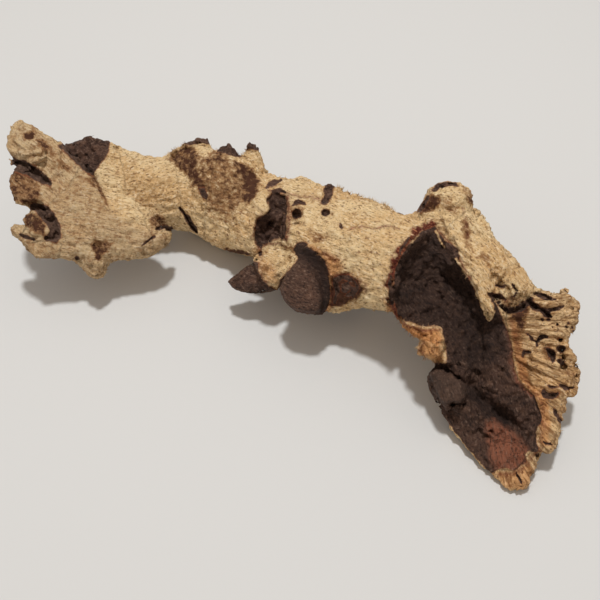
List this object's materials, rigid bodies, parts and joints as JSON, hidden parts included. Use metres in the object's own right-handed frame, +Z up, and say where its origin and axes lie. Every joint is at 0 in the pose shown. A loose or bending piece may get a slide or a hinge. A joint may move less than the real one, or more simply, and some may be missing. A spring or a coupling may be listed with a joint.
{
  "type": "mopani driftwood",
  "caption": "Sandblasted mopani root wood for an aquarium or terrarium: a gnarled pale branch with dark heartwood, a forked blade at one end and a hollowed fan at the other.",
  "frame": {"origin": "middle of the footprint's box, on the surface that the wood rests on", "axes": "+X along the length from the forked blade to the fan, +Z up, +Y to the back"},
  "size_m": [0.329, 0.2164, 0.083],
  "materials": {
    "driftwood": "dry sandblasted sapwood, matt, with dark rough heartwood laid bare"
  },
  "bodies": {
    "root": {"driftwood": "driftwood"}
  },
  "joints": []
}
